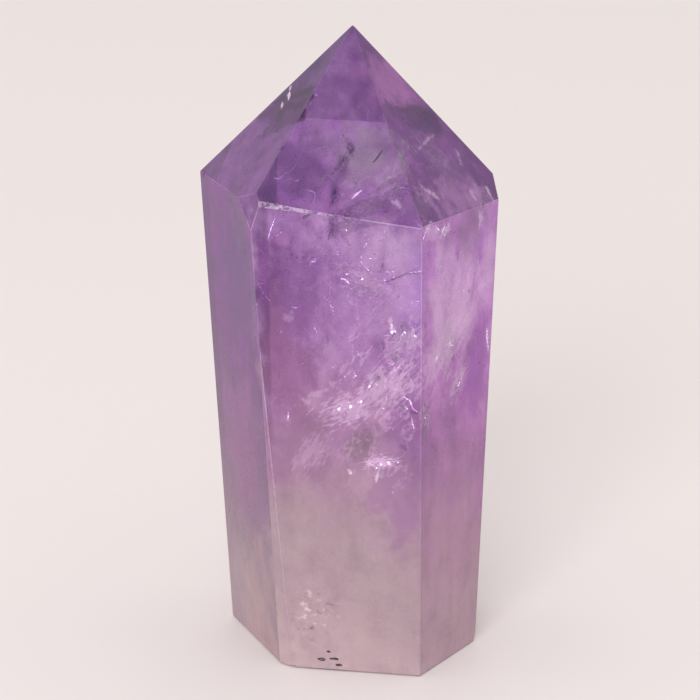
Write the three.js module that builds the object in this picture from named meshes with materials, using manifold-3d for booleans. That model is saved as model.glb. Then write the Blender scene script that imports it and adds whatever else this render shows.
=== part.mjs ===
// Amethyst point: one hexagonal quartz crystal, ground to flat facets, polished, and standing on
// its sawn base. Millimetres, +Z up, the origin at the middle of the base.
//
// The crystal is worked as a lapidary works it. A rough block is ground flat facet by facet, every
// edge then takes a narrow band of wear, and small chips, nicks and pits are struck out of it last.

import * as THREE from 'three';
import { mergeVertices } from 'three/addons/utils/BufferGeometryUtils.js';
import Module from 'manifold-3d';

const wasm = await Module();
wasm.setup();

// Driving dimensions: the apex, and the height at which the body is widest
const HEIGHT = 73.85;
const APEX = new THREE.Vector3(0.4, -0.55, HEIGHT);
const SHOULDER = 54;

// The long side facets, seen from above: the way each one faces in degrees anticlockwise from +X,
// how far its foot lies from the middle of the base, and how far it leans out as it rises.
// The front strip is a narrow flat that takes off the foot of the edge between left and front.
const SIDES = {
  left: { faces: 201.9, foot: 11.57, lean: 3.9 },
  frontStrip: { faces: 228, foot: 13.56, lean: 4.2 },
  front: { faces: 259.4, foot: 13.34, lean: 1.9 },
  right: { faces: 328.7, foot: 14.85, lean: 0.9 },
  backRight: { faces: 15.5, foot: 13.24, lean: 2.93 },
  back: { faces: 79.9, foot: 10.94, lean: 0.66 },
  backLeft: { faces: 140.9, foot: 13.16, lean: 1.15 },
};

// The tip facets, which all pass through the apex: the way each one faces, and its slope from level
const TIPS = {
  leftTip: { faces: 200.9, slope: 48.6 },
  frontTip: { faces: 264.2, slope: 51.2 },
  rightTip: { faces: 331.4, slope: 52.7 },
  backRightTip: { faces: 23.95, slope: 49.54 },
  backTip: { faces: 79.9, slope: 55.93 },
  backLeftTip: { faces: 140.9, slope: 50 },
};

// A small steep facet on the shoulder corner between left and front
const CORNER = { faces: 215.5, slope: 78.3, out: 16.56 };

// The bruised edge of the front shoulder: widest at its left end, gone at its right end
const BRUISE = {
  leftX: -9.4, rightX: 1.5, below: 0.3, above: 0.32, grains: 34, grainSize: 0.17, overrun: 0.3, thinning: 1.4,
};

// Wear: the width of the bright band along every edge, and along the sawn edge of the base
const EDGE_WEAR = 0.13;
const EDGE_WEAR_SPREAD = 0.05;
const BASE_WEAR = 0.26;
const SHARPEST_TURN = 110;
const SLIGHTEST_TURN = 4;

// How far each kind of lump stands out of the surface that it is struck into, as a share of its depth
const PROUD = { chip: 0.25, pit: 0.2, grain: 0.45 };

// Each kind's first seed, so that no two lumps are alike
const SEEDS = { wear: 11, bruise: 29, chip: 100, pit: 300, grain: 500 };

const UP = new THREE.Vector3(0, 0, 1);
const ROUGH_WIDTH = 70;
const WHEEL = 160;

// Even random numbers from 0 to 1, the same at every run
function randomNumbers(seed) {
  let state = seed;
  return () => {
    state = (state * 1664525 + 1013904223) % 4294967296;
    return state / 4294967296;
  };
}

function solidOf(geometry) {
  const bare = geometry.clone();
  bare.deleteAttribute('normal');
  bare.deleteAttribute('uv');
  const merged = mergeVertices(bare);
  return new wasm.Manifold(new wasm.Mesh({
    numProp: 3,
    vertProperties: new Float32Array(merged.attributes.position.array),
    triVerts: new Uint32Array(merged.index.array),
  }));
}

function geometryOf(solid) {
  const mesh = solid.getMesh();
  const geometry = new THREE.BufferGeometry();
  geometry.setAttribute('position', new THREE.BufferAttribute(mesh.vertProperties, 3));
  geometry.setIndex(new THREE.BufferAttribute(mesh.triVerts, 1));
  geometry.computeVertexNormals();
  return geometry;
}

// Planes are facets: the outward normal, and the plane's distance from the origin along it
function facing(faces, rise) {
  const round = THREE.MathUtils.degToRad(faces);
  const up = THREE.MathUtils.degToRad(rise);
  return new THREE.Vector3(Math.cos(up) * Math.cos(round), Math.cos(up) * Math.sin(round), Math.sin(up));
}

function facetThrough(normal, point) {
  return { normal, reach: normal.dot(point) };
}

function sideFacet({ faces, foot, lean }) {
  return facetThrough(facing(faces, -lean), facing(faces, 0).multiplyScalar(foot));
}

function tipFacet({ faces, slope }) {
  return facetThrough(facing(faces, 90 - slope), APEX);
}

function cornerFacet({ faces, slope, out }) {
  const point = facing(faces, 0).multiplyScalar(out);
  point.z = SHOULDER;
  return facetThrough(facing(faces, 90 - slope), point);
}

// The point where three facets meet
function meeting(a, b, c) {
  const normals = new THREE.Matrix3().set(
    ...a.normal.toArray(), ...b.normal.toArray(), ...c.normal.toArray(),
  );
  return new THREE.Vector3(a.reach, b.reach, c.reach).applyMatrix3(normals.invert());
}

function levelAt(height) {
  return { normal: UP.clone(), reach: height };
}

function acrossAt(x) {
  return { normal: new THREE.Vector3(1, 0, 0), reach: x };
}

// Everything beyond a facet's plane is ground away
function grind(solid, facet) {
  const wheel = new THREE.BoxGeometry(WHEEL, WHEEL, WHEEL);
  wheel.translate(0, 0, WHEEL / 2);
  wheel.applyQuaternion(new THREE.Quaternion().setFromUnitVectors(UP, facet.normal));
  wheel.translate(...facet.normal.clone().multiplyScalar(facet.reach).toArray());
  return solid.subtract(solidOf(wheel));
}

// A flat band of the given width along the edge that two facets share
function wearBand(a, b, width) {
  const turn = a.normal.angleTo(b.normal);
  const sum = a.normal.clone().add(b.normal);
  const depth = (width / 2) * Math.tan(turn / 2);
  return { normal: sum.clone().normalize(), reach: (a.reach + b.reach) / sum.length() - depth };
}

function wearBands(facets, base) {
  const random = randomNumbers(SEEDS.wear);
  const bands = [];
  facets.forEach((a, i) => {
    facets.slice(i + 1).forEach((b) => {
      const turn = THREE.MathUtils.radToDeg(a.normal.angleTo(b.normal));
      if (turn > SLIGHTEST_TURN && turn < SHARPEST_TURN) {
        bands.push(wearBand(a, b, EDGE_WEAR + EDGE_WEAR_SPREAD * (2 * random() - 1)));
      }
    });
    if (a.normal.z < 0) {
      bands.push(wearBand(a, base, BASE_WEAR));
    }
  });
  return bands;
}

// The bruise's plane: it leaves the front facet and the front tip facet by the given widths at its
// left end, and runs out on the edge between them at its right end
function bruiseFacet(front, frontTip) {
  const { leftX, rightX, below, above } = BRUISE;
  const edge = meeting(front, frontTip, acrossAt(leftX));
  const low = meeting(front, acrossAt(leftX), levelAt(edge.z - below));
  const high = meeting(frontTip, acrossAt(leftX), levelAt(edge.z + above));
  const end = meeting(front, frontTip, acrossAt(rightX));
  const normal = new THREE.Plane().setFromCoplanarPoints(low, end, high).normal;
  return facetThrough(normal, end);
}

// A chip's tool: a lumpy ball, so that the scoop that it leaves has small flats and steps
function lump(centre, size, seed) {
  const random = randomNumbers(seed);
  const rough = new THREE.IcosahedronGeometry(1, 1).deleteAttribute('normal').deleteAttribute('uv');
  const ball = mergeVertices(rough);
  const places = ball.attributes.position;
  const point = new THREE.Vector3();
  for (let i = 0; i < places.count; i += 1) {
    point.fromBufferAttribute(places, i).multiplyScalar(0.8 + 0.4 * random());
    places.setXYZ(i, point.x, point.y, point.z);
  }
  ball.rotateX(Math.PI * random());
  ball.rotateZ(Math.PI * random());
  ball.scale(...size);
  ball.translate(...centre.toArray());
  return solidOf(ball);
}

// A chip struck at a point of the surface, by a lump whose centre stands out of it
function strike(solid, facet, point, size, seed, proud) {
  const depth = Math.min(...size);
  const centre = point.clone().addScaledVector(facet.normal, depth * proud);
  return solid.subtract(lump(centre, size, seed));
}

// The facets by name
const side = Object.fromEntries(Object.entries(SIDES).map(([name, cut]) => [name, sideFacet(cut)]));
const tip = Object.fromEntries(Object.entries(TIPS).map(([name, cut]) => [name, tipFacet(cut)]));
const corner = cornerFacet(CORNER);
const base = { normal: UP.clone().negate(), reach: 0 };
const bruise = bruiseFacet(side.front, tip.frontTip);

// Chips along the edges: the two facets that meet there, the height or the place across, the size
const EDGE_CHIPS = [
  { edge: [side.left, tip.leftTip], x: -16.75, size: [0.5, 0.6, 0.5] },
  { edge: [side.left, tip.leftTip], x: -14.3, size: [0.26, 0.3, 0.24] },
  { edge: [side.left, corner], z: 55.4, size: [0.22, 0.24, 0.55] },
  { edge: [tip.leftTip, tip.frontTip], z: 61.9, size: [0.2, 0.22, 0.42] },
  { edge: [tip.leftTip, tip.frontTip], z: 59.4, size: [0.15, 0.17, 0.22] },
  { edge: [tip.leftTip, tip.frontTip], z: 66.3, size: [0.12, 0.14, 0.2] },
  { edge: [tip.frontTip, tip.rightTip], z: 58.1, size: [0.16, 0.15, 0.3] },
  { edge: [tip.frontTip, tip.rightTip], z: 63.4, size: [0.12, 0.12, 0.2] },
  { edge: [side.front, tip.frontTip], x: -4.1, size: [0.62, 0.24, 0.2] },
  { edge: [side.front, tip.frontTip], x: -1.6, size: [0.36, 0.2, 0.2] },
  { edge: [side.right, tip.rightTip], x: 15.3, size: [0.3, 0.3, 0.18] },
  { edge: [side.front, side.right], z: 53.4, size: [0.2, 0.22, 0.4] },
  { edge: [side.front, side.right], z: 21.5, size: [0.13, 0.13, 0.3] },
  { edge: [side.left, side.front], z: 44.6, size: [0.12, 0.12, 0.24] },
  { edge: [side.right, side.backRight], z: 31.8, size: [0.14, 0.14, 0.32] },
  { edge: [side.right, side.backRight], z: 0.2, size: [0.5, 0.5, 0.75] },
  { edge: [side.frontStrip, side.front], z: 0, size: [0.7, 0.5, 0.35] },
  { edge: [side.backRight, side.back], z: 47, size: [0.25, 0.25, 0.6] },
  { edge: [side.back, side.backLeft], z: 12.5, size: [0.3, 0.3, 0.5] },
  { edge: [tip.backTip, tip.backLeftTip], z: 62.6, size: [0.2, 0.2, 0.3] },
  { edge: [side.backLeft, tip.backLeftTip], x: -11, size: [0.4, 0.4, 0.22] },
];

// Pits in the front facet close above the base: the place across, the height, the size
const FRONT_PITS = [
  { x: -3.2, z: 1.32, size: [0.55, 0.22, 0.24] },
  { x: -2.4, z: 2.35, size: [0.3, 0.16, 0.15] },
  { x: -1.75, z: 1.48, size: [0.6, 0.24, 0.18] },
  { x: -1.18, z: 0.74, size: [0.5, 0.24, 0.2] },
];

function strikeEdges(solid) {
  return EDGE_CHIPS.reduce((worked, { edge, x, z, size }, i) => {
    const [a, b] = edge;
    const point = meeting(a, b, x === undefined ? levelAt(z) : acrossAt(x));
    const outward = { normal: a.normal.clone().add(b.normal).normalize() };
    return strike(worked, outward, point, size, SEEDS.chip + i, PROUD.chip);
  }, solid);
}

function strikePits(solid) {
  return FRONT_PITS.reduce((worked, { x, z, size }, i) => {
    const point = meeting(side.front, acrossAt(x), levelAt(z));
    return strike(worked, side.front, point, size, SEEDS.pit + i, PROUD.pit);
  }, solid);
}

// The bruise's grains: small pits crowded along the ground band, thinning to the right
function strikeBruise(solid) {
  const random = randomNumbers(SEEDS.bruise);
  const { leftX, rightX, below, above, grains, grainSize, overrun, thinning } = BRUISE;
  let worked = solid;
  for (let i = 0; i < grains; i += 1) {
    const along = random() ** thinning;
    const x = THREE.MathUtils.lerp(leftX - overrun, rightX, along);
    const edge = meeting(side.front, tip.frontTip, acrossAt(x));
    const height = THREE.MathUtils.lerp(edge.z - below, edge.z + above, random());
    const point = meeting(bruise, acrossAt(x), levelAt(THREE.MathUtils.lerp(height, edge.z, along)));
    const size = grainSize * (0.7 + 0.6 * random());
    worked = strike(worked, bruise, point, [size * 1.3, size, size], SEEDS.grain + i, PROUD.grain);
  }
  return worked;
}

function roughBlock() {
  const block = new THREE.BoxGeometry(ROUGH_WIDTH, ROUGH_WIDTH, HEIGHT);
  block.translate(0, 0, HEIGHT / 2);
  return solidOf(block);
}

// The mesh sits with the middle of its box over the origin, and its base on z = 0
function centred(geometry) {
  geometry.computeBoundingBox();
  const middle = geometry.boundingBox.getCenter(new THREE.Vector3());
  return geometry.translate(-middle.x, -middle.y, -geometry.boundingBox.min.z);
}

function amethystPoint() {
  const facets = [...Object.values(side), ...Object.values(tip), corner];
  let crystal = roughBlock();
  [...facets, bruise, ...wearBands(facets, base)].forEach((facet) => {
    crystal = grind(crystal, facet);
  });
  crystal = strikePits(strikeEdges(strikeBruise(crystal)));
  const polished = new THREE.MeshStandardMaterial({ color: 0x9a6fae, roughness: 0.06, metalness: 0 });
  const mesh = new THREE.Mesh(centred(geometryOf(crystal)), polished);
  mesh.name = 'amethyst_point';
  return mesh;
}

const part = new THREE.Group();
part.add(amethystPoint());

export default part;
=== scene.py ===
"""Amethyst point: the looks of one polished crystal, with its camera, floor and light.

The crystal itself is the CAD solid and keeps its shape. This script gives it its material, and
builds what shows inside it as mesh: healed fractures made of small flakes, bright streaks and
glints, and dark specks. Lengths are in millimetres until they reach Blender.
"""
import math
import random

import bpy
from mathutils import Matrix, Vector, noise


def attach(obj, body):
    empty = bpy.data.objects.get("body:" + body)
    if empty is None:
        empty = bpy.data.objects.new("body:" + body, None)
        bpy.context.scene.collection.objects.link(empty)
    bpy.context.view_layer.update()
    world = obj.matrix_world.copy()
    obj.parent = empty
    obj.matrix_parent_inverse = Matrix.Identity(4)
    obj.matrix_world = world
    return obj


MM = 0.001

HEIGHT = 73.76

# The camera looks slightly down from a long way off. SIGHT is the way that it looks.
CAMERA_PLACE = Vector((0.12, -451.71, 184.5)) * MM
CAMERA_TARGET = Vector((0.12, -1.71, 36.0)) * MM
CAMERA_LENS = 210.9
SIGHT = Vector((0, 0.9496, -0.3134))

# The floor lies a hair below the base, so that the two surfaces don't fight
FLOOR_HALF_WIDTH = 3000
FLOOR_DROP = 0.04
FLOOR_COLOUR = (0.84, 0.795, 0.79)
FLOOR_ROUGHNESS = 0.6

# An even pale room, with one large soft window in front and above
ROOM_COLOUR = (1.0, 0.955, 0.94)
ROOM_STRENGTH = 0.86
WINDOW_PLACE = Vector((-250, -1150, 600)) * MM
WINDOW_TARGET = Vector((0, 0, 40)) * MM
WINDOW_SIZE = 650
WINDOW_POWER = 9

QUARTZ_IOR = 1.544

# The facets, by the way that each faces (degrees anticlockwise from +X) and its rise from level.
# Each has the tint that its colour is multiplied by, and the share of its clearness that it keeps.
# The tints are partly the colour that the crystal took under each facet as it grew, and partly
# painted shade and painted reflection: the left facet, the corner and the tip facets are darkened
# for the shade and the dark reflections that fall on them.
FACETS = {
    "left": (201.9, -3.9, (0.27, 0.0, 0.34), 0.9),
    "strip": (228, -4.2, (1.0, 0.98, 1.0), 0.8),
    "front": (259.4, -1.9, (1.0, 1.0, 1.0), 1.0),
    "right": (328.7, -0.9, (1.12, 0.74, 1.08), 1.0),
    "back_right": (15.5, -2.93, (1.0, 1.0, 1.0), 1.0),
    "back": (79.9, -0.66, (1.0, 1.0, 1.0), 1.0),
    "back_left": (140.9, -1.15, (1.0, 1.0, 1.0), 1.0),
    "left_tip": (200.9, 41.4, (0.37, 0.18, 0.44), 0.8),
    "front_tip": (264.2, 38.8, (0.66, 0.50, 0.74), 1.0),
    "right_tip": (331.4, 37.3, (0.36, 0.13, 0.42), 0.75),
    "back_right_tip": (23.95, 40.46, (0.5, 0.35, 0.56), 0.8),
    "back_tip": (79.9, 34.07, (0.9, 0.85, 0.95), 1.0),
    "back_left_tip": (140.9, 40.0, (0.9, 0.85, 0.95), 1.0),
    "corner": (215.5, 11.7, (0.42, 0.36, 0.46), 0.8),
    "base": (0, -90, (1.0, 1.0, 1.0), 0.6),
}

# A surface belongs to a facet where the cosine of the angle between them passes through this range
SAME_FACET = (0.985, 0.995)

# Facets through which the violet seems to reach lower, and by how much
REACH_LOWER = {"left": 10, "right": 2}

# The colour by height above the base, after the zones have been tilted and made to wander
TILT_OF_ZONES = 0.35
WANDER_OF_ZONES = 5
COLOUR_BY_HEIGHT = [
    (0, (0.57, 0.42, 0.45)),
    (8, (0.49, 0.35, 0.39)),
    (14, (0.46, 0.33, 0.37)),
    (20, (0.46, 0.30, 0.38)),
    (28, (0.50, 0.26, 0.48)),
    (44, (0.59, 0.31, 0.65)),
    (56, (0.54, 0.30, 0.62)),
    (74, (0.50, 0.25, 0.61)),
]

# How much of the light passes straight through, by height: the foot is milky
CLEAR_BY_HEIGHT = [(4, 0.25), (20, 0.4), (32, 0.62), (56, 0.75), (66, 0.62)]

# The facets' tints and the clouds of growth come in above the foot, and the feathery streaks higher
TINTED_HEIGHTS = (8, 40)
TINT_OF_FOOT = 0.2
FEATHERY_HEIGHTS = (26, 44)

# Growth has left soft clouds and upright streaks in the colour, feathery streaks above them, and a
# fine mottle over all: the noise, how far from its middle the tints are full, and the tints where it
# is low and where it is high
GROWTH_CLOUDS = [
    (dict(scale=120, stretch=2.0), 0.16, (0.70, 0.58, 0.78), (1.14, 1.22, 1.12)),
    (dict(scale=420, stretch=6.0), 0.16, (0.86, 0.82, 0.88), (1.08, 1.10, 1.08)),
]
FEATHERY_STREAKS = [
    (dict(scale=330, stretch=5.0, detail=4, turn=-32), 0.14, (0.78, 0.66, 0.82), (1.14, 1.24, 1.14)),
    (dict(scale=620, stretch=3.0, detail=4, turn=40), 0.14, (0.80, 0.70, 0.84), (1.12, 1.20, 1.12)),
]
MOTTLE = (dict(scale=300, stretch=1, detail=4, roughness=0.7), 0.18, (0.86, 0.82, 0.88), (1.1, 1.12, 1.1))
UNTINTED = (1.0, 1.0, 1.0)

# The other noises of the crystal's colour, and the range that most of such a noise lies in
WANDER_NOISE = dict(scale=75, stretch=1, detail=4)
TEAR_NOISE = dict(scale=420, stretch=1.5)
FINE_TEAR_NOISE = dict(scale=1500, stretch=1, detail=3)
FEATHER_NOISE = dict(scale=5, stretch=0.42, detail=3, roughness=0.68)
FILAMENT_NOISE = dict(scale=380, stretch=2.2, detail=4, roughness=0.62, turn=-35)
SPECK_NOISE = dict(scale=1500, stretch=1.5, detail=2, roughness=0.5, turn=90)
WEAR_NOISE = dict(scale=5200, stretch=2, detail=3, roughness=0.7)
NOISE_RANGE = (0.3, 0.7)
WIDE_NOISE_RANGE = (0.2, 0.8)

# A zone is full within its core and gone a little past its reach, both as shares of its reach
SOFT_CORE = 0.25
CRISP_CORE = 0.7
ZONE_END = 1.15

# Zones near the surface where the colour is paler or deeper: the middle, the reach along each axis,
# the turn seen from the front in degrees, how frayed the border is, the colour, and how strongly it
# shows
ZONES = {
    "violet_left_body": ((-6.8, -12, 46.0), (6.0, 5, 10.5), 0, 0.5, (0.24, 0.08, 0.32), 0.92),
    "violet_left_column": ((-8.6, -11.3, 45.5), (2.1, 2.5, 11), 0, 0.5, (0.16, 0.03, 0.21), 0.75),
    "lilac_left_edge": ((-9.65, -11.5, 48.0), (0.85, 1.6, 5.6), 0, 0.4, (0.44, 0.12, 0.54), 0.85),
    "lilac_left_high": ((-7.4, -12, 52.6), (1.0, 1.6, 1.1), 20, 0.5, (0.60, 0.28, 0.64), 0.6),
    "lilac_left_low": ((-12.4, -4, 25), (4.5, 7, 11), 0, 0.5, (0.46, 0.06, 0.39), 0.4),
    "beige_left_foot": ((-11.5, -4, 4), (6, 7, 13), 0, 0.4, (0.55, 0.34, 0.33), 0.5),
    "violet_left_high": ((-12.5, -6, 46.5), (5.0, 9, 9), 0, 0.5, (0.06, 0.0, 0.15), 0.7),
    # The next zone is a painted reflection: the upper right of the front facet made paler.
    "painted_reflection_front": ((4.0, -14, 51.6), (4.4, 4, 3.8), 0, 0.3, (0.86, 0.66, 0.90), 0.75),
    "lilac_front": ((2.5, -13.5, 45), (5.5, 4, 9), 0, 0.5, (0.51, 0.27, 0.60), 0.68),
    "pale_right_front": ((10.0, -11.8, 45.5), (1.8, 2.0, 8), 0, 0.4, (1.0, 0.68, 1.0), 0.8),
    "pale_right_back": ((16.2, -2.4, 46.5), (1.8, 2.8, 6.5), 0, 0.4, (1.0, 0.68, 1.0), 0.8),
    "violet_right_edge": ((7.6, -14.5, 47.5), (1.3, 3, 6.5), 0, 0.3, (0.58, 0.32, 0.78), 0.7),
    "pale_right": ((12.0, -8, 43.8), (5.4, 7, 8.6), 0, 0.4, (1.0, 0.66, 1.0), 0.95),
    "grey_right_top": ((14.5, -4.5, 52.2), (3.2, 6, 4.2), 0, 0.5, (0.42, 0.22, 0.45), 0.85),
    "dark_right_top": ((13.6, -6.0, 52.8), (4.4, 7, 2.0), 22, 0.5, (0.32, 0.13, 0.35), 0.75),
    "violet_right_low": ((14.9, -4.1, 35.2), (2.7, 4, 8.4), -12, 0.3, (0.40, 0.075, 0.53), 0.9),
    "red_left": ((-7.0, -11.6, 36.5), (4.4, 3, 10.5), 0, 0.6, (0.35, 0.13, 0.32), 0.85),
    "shade_left_middle": ((-5.4, -11.8, 28), (4.4, 4, 6), 0, 0.6, (0.40, 0.20, 0.36), 0.72),
    "violet_pocket": ((6.9, -14, 31.6), (3.4, 4, 5.0), 0, 0.5, (0.35, 0.135, 0.39), 0.92),
    "violet_pocket_high": ((7.2, -14.6, 43.0), (1.8, 3, 2.0), 0, 0.4, (0.44, 0.20, 0.62), 0.7),
    "beige_middle": ((1.6, -13.0, 28.6), (3.2, 3, 2.6), 30, 0.6, (0.30, 0.19, 0.23), 0.7),
    "violet_low_front": ((5.4, -13.4, 23.5), (5.0, 5, 7), 15, 0.6, (0.40, 0.20, 0.40), 0.7),
    "shade_left_foot": ((-5, -11.5, 12), (5.5, 4, 8), 0, 0.6, (0.42, 0.29, 0.34), 0.65),
    # The next zone is a painted reflection: a greyish veil over the front tip facet.
    "painted_reflection_tip": ((1.8, -8.8, 61.1), (5.0, 5, 4.4), -15, 0.4, (0.33, 0.25, 0.36), 0.92),
    "violet_window_left": ((-2.8, -8.0, 62.8), (3.2, 5, 2.6), 0, 0.4, (0.24, 0.13, 0.30), 0.75),
    "pink_right_tip": ((5.2, -1.2, 67.1), (5.2, 6, 3.4), -40, 0.4, (0.51, 0.17, 0.54), 0.85),
    "violet_tip_left": ((-5.8, -8.8, 60.3), (4.4, 4, 5.6), 30, 0.4, (0.12, 0.04, 0.20), 0.85),
    "lilac_right_tip": ((12.0, -6.0, 55.6), (5.5, 6, 3.0), -10, 0.5, (0.50, 0.23, 0.56), 0.8),
    "violet_corner": ((-8.9, -10.9, 57.6), (1.3, 2, 2.6), -30, 0.3, (0.18, 0.06, 0.30), 0.85),
    "lilac_shoulder": ((1.6, -12, 56.0), (3.2, 3, 1.5), -8, 0.5, (0.46, 0.27, 0.52), 0.6),
    "dim_line_high": ((3.7, -14, 50.0), (0.45, 2.5, 1.6), 12, 0.5, (0.42, 0.20, 0.50), 0.6),
    "dim_line_right": ((5.8, -14, 48.9), (2.2, 2.5, 0.3), 28, 0.6, (0.40, 0.20, 0.46), 0.6),
    "dark_shoulder": ((6.0, -13, 56.5), (4.2, 3, 1.8), -8, 0.5, (0.28, 0.15, 0.34), 0.5),
    "hook_top": ((0.15, -8.0, 62.1), (0.7, 2.5, 1.3), 10, 0.45, (0.13, 0.035, 0.20), 0.75),
    "hook_bend": ((-0.8, -9.6, 60.1), (0.95, 2.5, 1.7), -8, 0.45, (0.13, 0.035, 0.20), 0.8),
    "smear_low": ((-1.6, -11.6, 57.6), (0.55, 2.0, 1.5), 8, 0.45, (0.10, 0.02, 0.17), 0.8),
    "smear_right": ((5.6, -11.5, 58.9), (0.9, 2.5, 1.8), -30, 0.6, (0.20, 0.09, 0.28), 0.6),
    "smear_shoulder": ((-1.9, -12.6, 54.0), (0.95, 2.2, 1.9), 8, 0.5, (0.20, 0.07, 0.27), 0.8),
    "dark_left_band": ((-12.0, -7, 53.5), (1.5, 5, 4.6), 12, 0.5, (0.10, 0.04, 0.14), 0.6),
    "dark_edge_band": ((-11.6, -8.6, 46), (0.8, 1.8, 8), 3, 0.5, (0.12, 0.0, 0.20), 0.5),
}

# Zones with a crisp, torn border: the dark bands high in the tip, which are painted shade for the
# dark that the tip shows by refraction, a dark slash below them, and dark mottles on the right
CRISP_ZONES = {
    "painted_shade_left_tip": ((-7.0, -2.0, 64.7), (4.6, 6, 1.15), 41, 0.55, (0.05, 0.0, 0.08), 0.92),
    "painted_shade_right_tip": ((7.9, -2.0, 63.6), (4.3, 7, 0.9), -32, 0.6, (0.06, 0.0, 0.11), 0.75),
    "slash": ((3.3, -9.0, 61.3), (0.14, 2.0, 0.9), -38, 0.2, (0.07, 0.01, 0.11), 0.55),
    "right_mottle": ((12.0, -3.0, 58.0), (1.0, 4, 1.7), -35, 0.5, (0.16, 0.05, 0.22), 0.6),
    "right_mottle_low": ((10.6, -6.0, 58.9), (1.0, 4, 0.7), 20, 0.5, (0.18, 0.06, 0.24), 0.5),
}

# Soft pale strokes: the middle, the reach, the turn, the strength
STROKE_COLOUR = (0.98, 0.76, 0.98)
STROKES = {
    "tip_blob": ((5.2, -12.9, 56.9), (0.9, 2, 0.32), -35, 0.5),
    "tip_bar": ((1.0, -11.8, 57.7), (0.9, 2, 0.2), 35, 0.5),
    "right_tip_a": ((9.2, -9.3, 57.0), (1.5, 3, 0.18), -38, 0.42),
    "right_tip_b": ((8.8, -3.4, 61.4), (1.3, 4, 0.2), 20, 0.3),
    "right_tip_c": ((12.5, -0.4, 58.9), (0.18, 4, 1.1), 22, 0.3),
    "right_tip_d": ((14.1, -3.5, 55.1), (0.16, 3, 0.7), 30, 0.4),
    "right_tip_e": ((16.0, -0.8, 54.7), (0.16, 3, 1.0), 30, 0.5),
    # The next two strokes are painted glints, laid over bright streaks in the flakes behind them.
    "left_tip_glint": ((-6.8, 0.7, 65.9), (0.15, 2.5, 0.8), -14, 0.95),
    "left_tip_dot": ((-7.6, -0.2, 64.7), (0.13, 2.5, 0.45), -15, 0.75),
    "right_edge_high": ((15.0, -3.7, 52.6), (0.28, 3, 1.2), 0, 0.75),
    "tuft_a": ((8.8, -13.9, 54.0), (0.35, 2, 0.7), -20, 0.95),
    "tuft_b": ((10.9, -10.5, 53.2), (0.7, 2.5, 0.8), 25, 0.9),
    "tuft_c": ((9.9, -12.0, 53.5), (0.3, 2, 0.5), 35, 0.8),
    "comet": ((4.8, -14, 42.9), (0.28, 2, 1.1), 6, 0.95),
    "comet_low": ((7.2, -14.4, 42.2), (0.26, 2, 0.9), 4, 0.8),
    "flare": ((9.9, -11.5, 38.6), (0.4, 3, 1.3), 18, 0.95),
    "flare_right": ((11.4, -9.0, 39.4), (0.3, 3, 1.3), -14, 0.9),
    "point": ((12.8, -6.8, 34.3), (0.25, 3, 0.9), -24, 0.6),
    "edge": ((16.0, -1.6, 37.2), (0.18, 3, 1.6), 3, 0.9),
    "left_patch": ((-6.8, -11.9, 43.3), (0.5, 2, 0.9), -35, 0.22),
    "left_low": ((-3.6, -12.2, 34.2), (2.4, 2.5, 0.5), 35, 0.35),
    "spark_tail": ((3.2, -13.1, 24.6), (0.25, 2, 0.9), -15, 0.8),
    "spark_left": ((0.1, -12.5, 25.0), (0.25, 2, 0.35), 0, 0.45),
}

# Healed fractures seen as feathered pale patches: the middle, the reach, the turn, the strength
FEATHER_COLOUR = (0.95, 0.66, 0.96)
FEATHER_FRAYED = 0.75
FEATHERS = {
    "left_of_middle": ((-0.1, -12.8, 32.6), (2.9, 3, 2.1), 30, 0.75),
    "middle": ((4.4, -13.8, 35.6), (3.6, 3, 2.5), 52, 0.75),
    "upper": ((6.4, -14.3, 41.2), (2.4, 3, 1.7), 40, 0.6),
    "over_edge": ((9.9, -11.6, 38.2), (3.8, 4, 1.9), 62, 0.6),
    "right_fan": ((12.2, -8.6, 40.0), (4.6, 5, 2.2), 58, 0.7),
    "right_point": ((12.5, -8.0, 34.0), (2.4, 4, 1.1), 55, 0.6),
    "spark": ((3.6, -13.2, 26.4), (2.0, 2.5, 0.8), 12, 0.9),
    "arc": ((1.8, -13.7, 48.2), (3.2, 3, 0.9), -24, 0.5),
    "back_middle": ((3.5, 14.5, 36.5), (3.8, 4, 2.4), 52, 0.6),
    "back_high": ((6.5, 14.2, 43), (2.6, 4, 1.9), 40, 0.5),
    "back_upper": ((2.5, 14.5, 49.5), (3.6, 4, 1.2), -24, 0.45),
    "haze": ((5.2, -14.0, 45.5), (3.4, 3, 2.6), 50, 0.25),
    "under_ridge": ((9.4, -12.8, 53.4), (2.0, 3, 1.0), -40, 0.6),
    "tip_brush": ((4.6, -10.5, 58.8), (4.5, 4, 1.0), 38, 0.14),
    "tip_brush_right": ((9.6, -4.5, 60.3), (3.2, 4, 0.9), -50, 0.1),
    "low_left": ((-4.2, -12.1, 27), (3.0, 3, 1.6), 60, 0.3),
}

# Where fine pale filaments run through the colour: the middle, the reach, the turn, the strength. A
# filament lies where its noise is this close to its middle.
FILAMENT_FRAYED = 0.6
FILAMENT_WIDTH = 0.035
FILAMENTS = {
    "through_middle": ((6.0, -12.5, 37.5), (7.5, 6, 10), -32, 0.65),
    "upper_front": ((1.5, -13.0, 49.0), (7.5, 4, 4.5), 0, 0.2),
    "low_middle": ((2.0, -13.0, 27.0), (5.0, 4, 5.0), 0, 0.4),
    "front_tip": ((3.5, -10.5, 58.5), (7.0, 5, 3.6), 0, 0.22),
    "right_tip": ((10.0, -5.0, 59.0), (7.0, 7, 5.0), 0, 0.1),
}

# Specks near the foot: the middle and the reach of their patch, and for the pale and the dark ones
# the colour and where their noise begins and is full. The pale specks are painted glints.
FOOT_SPECKS = ((-4.0, -11.0, 7.2), (3.6, 3, 4.2))
SPECKS = {
    "pale": ((0.90, 0.78, 0.84), 0.61, 0.82),
    "dark": ((0.16, 0.10, 0.12), 0.38, 0.24),
}
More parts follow.
